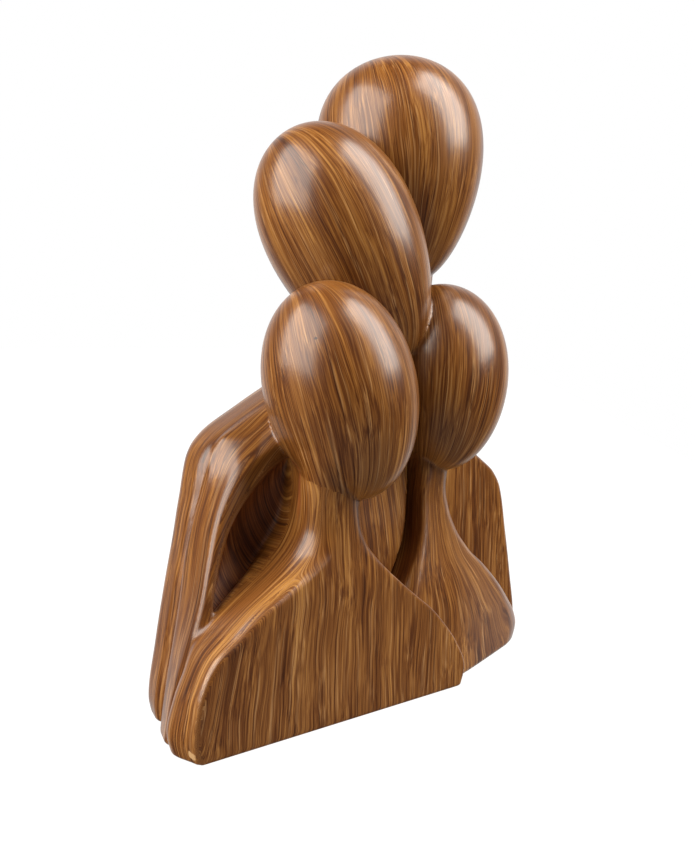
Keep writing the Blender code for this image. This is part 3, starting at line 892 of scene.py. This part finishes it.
def layFloor(look):
    a = math.radians(viewpoint["turn"])
    (left, right), (near, far) = look["across"], look["ahead"]
    corners = ((left, near), (right, near), (right, far), (left, far))
    places = [(across * math.cos(a) + ahead * math.sin(a), ahead * math.cos(a) - across * math.sin(a), 0)
              for across, ahead in corners]
    mesh = bpy.data.meshes.new("floor")
    mesh.from_pydata(places, [], [(0, 1, 2, 3)])
    floor = bpy.data.objects.new("floor", mesh)
    bpy.context.scene.collection.objects.link(floor)
    floor.visible_glossy = False         # its glow would lie as a veil on the lacquer
    paper = Finish("paleFloor")
    paper.fix("Base Color", (look["grey"], look["grey"], look["grey"], 1))
    paper.fix("Emission Color", (1, 1, 1, 1))
    paper.fix("Emission Strength", look["glow"])
    paper.fix("Roughness", look["roughness"])
    mesh.materials.append(paper.material)


# Azimuths are measured from the camera's side, positive to its right, and
# distances from the middle of the group, in metres.
softBoxes = {
    "leftBox": {"azimuth": -62, "elevation": 35, "distance": 0.9, "width": 0.95, "height": 1.0,
                "power": 23},
    "rightBox": {"azimuth": 86, "elevation": 43, "distance": 0.8, "width": 0.50, "height": 0.90,
                 "power": 15.5},
}
warmWhite = (1.0, 0.94, 0.87)


# A rectangle of light that faces the middle of the group.
def softBox(name, box):
    target = Vector((0, 0, 0.5 * group["unitsInHeight"] * unit))
    a = math.radians(box["azimuth"] - viewpoint["turn"])
    e = math.radians(box["elevation"])
    away = Vector((math.sin(a) * math.cos(e), -math.cos(a) * math.cos(e), math.sin(e)))
    data = bpy.data.lights.new(name, "AREA")
    data.shape = "RECTANGLE"
    data.size = box["width"]
    data.size_y = box["height"]
    data.energy = box["power"]
    data.color = warmWhite
    light = bpy.data.objects.new(name, data)
    bpy.context.scene.collection.objects.link(light)
    light.location = target + away * box["distance"]
    light.rotation_euler = (-away).to_track_quat("-Z", "Y").to_euler()


# Brightness of the room that lights the group, in front and behind, and the
# cosines of the angle from straight ahead between which it changes.
room = {"front": 0.04, "back": 0.9, "greyTo": 0.45, "whiteFrom": 0.95}


# White all round for the camera; for light and reflections a dark room that is
# bright behind the group, where the backdrop is.
def studio():
    world = bpy.data.worlds.new("studio")
    world.use_nodes = True
    tree = world.node_tree
    backdrop = tree.nodes["Background"]
    backdrop.inputs["Color"].default_value = (1, 1, 1, 1)
    path = tree.nodes.new("ShaderNodeLightPath")
    place = tree.nodes.new("ShaderNodeTexCoord")
    toBack = tree.nodes.new("ShaderNodeVectorMath")
    toBack.operation = "DOT_PRODUCT"
    a = math.radians(viewpoint["turn"])
    toBack.inputs[1].default_value = (math.sin(a), math.cos(a), 0)
    tree.links.new(place.outputs["Generated"], toBack.inputs[0])
    rise = tree.nodes.new("ShaderNodeMapRange")
    rise.interpolation_type = "SMOOTHSTEP"
    rise.inputs["From Min"].default_value = room["greyTo"]
    rise.inputs["From Max"].default_value = room["whiteFrom"]
    rise.inputs["To Min"].default_value = room["front"]
    rise.inputs["To Max"].default_value = room["back"]
    tree.links.new(toBack.outputs["Value"], rise.inputs["Value"])
    pick = tree.nodes.new("ShaderNodeMix")
    tree.links.new(path.outputs["Is Camera Ray"], pick.inputs["Factor"])
    tree.links.new(rise.outputs["Result"], pick.inputs["A"])
    pick.inputs["B"].default_value = 1.0
    tree.links.new(pick.outputs["Result"], backdrop.inputs["Strength"])
    bpy.context.scene.world = world


lookFrom(viewpoint)
layFloor(paleFloor)
for name, box in softBoxes.items():
    softBox(name, box)
studio()
bpy.context.scene.view_settings.view_transform = "Standard"
print("stage set")
